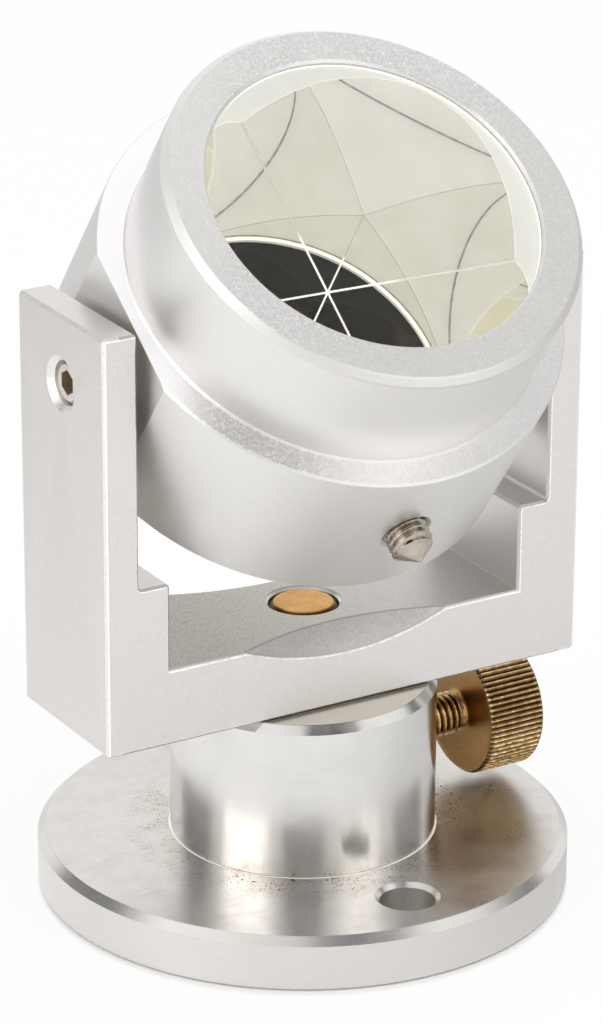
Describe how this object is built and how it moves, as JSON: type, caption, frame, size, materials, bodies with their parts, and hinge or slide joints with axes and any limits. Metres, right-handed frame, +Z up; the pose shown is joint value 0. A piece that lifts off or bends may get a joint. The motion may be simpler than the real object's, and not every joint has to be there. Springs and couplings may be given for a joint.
{
  "type": "surveying prism",
  "caption": "Corner-cube surveying prism in a round metal head that tilts in a U-shaped yoke and pans on a flanged post with a brass thumbscrew lock.",
  "frame": {"origin": "centre of the flange's underside, on the pan axis", "axes": "+Z up along the pan axis; X along the tilt axis, with the thumbscrew on the +X side; the yoke's front, which the prism looks out of, faces -Y"},
  "size_m": [0.06, 0.0627, 0.0971],
  "materials": {
    "turned_aluminium": "turned, clear",
    "blasted_aluminium": "bead-blasted, clear anodised",
    "stainless_steel": "bright",
    "brass": "turned, slightly dulled",
    "seal_rubber": "matt black",
    "nylon": "natural, matt",
    "optical_glass": "polished"
  },
  "bodies": {
    "base": {"base_flange": "turned_aluminium", "base_post": "turned_aluminium", "base_screw": "stainless_steel"},
    "clamp_pad": {"clamp_pad": "brass"},
    "thumb_screw": {"thumb_screw": "brass"},
    "yoke": {"yoke": "blasted_aluminium", "pan_spigot": "brass", "pan_ring": "seal_rubber", "pivot_screw_left": "stainless_steel", "pivot_screw_right": "stainless_steel", "tilt_washer_left": "nylon", "tilt_washer_right": "nylon"},
    "head": {"head_housing": "blasted_aluminium", "front_seal": "nylon", "prism_glass": "optical_glass", "prism_cradle": "nylon", "spring_washer": "stainless_steel", "rear_cover": "blasted_aluminium", "rear_seal": "seal_rubber", "index_screw": "stainless_steel"}
  },
  "joints": [
    {"name": "pan", "type": "hinge", "parent": "base", "child": "yoke", "pos_m": [0, 0, 0.02435], "axis": [0, 0, 1], "continuous": true},
    {"name": "tilt", "type": "hinge", "parent": "yoke", "child": "head", "pos_m": [0, 0, 0.06425], "axis": [1, 0, 0], "range_deg": [-156, 83]},
    {"name": "clamp_feed", "type": "slide", "parent": "base", "child": "clamp_pad", "axis": [1, 0, 0], "range_m": [0, 0.0024]},
    {"name": "clamp_turn", "type": "hinge", "parent": "clamp_pad", "child": "thumb_screw", "pos_m": [0.0207, 0, 0.0151], "axis": [1, 0, 0], "range_deg": [0, 1080]}
  ],
  "couplings": [
    {"joint": "clamp_feed", "follows": "clamp_turn", "m_per_rad": 0.00012732}
  ]
}
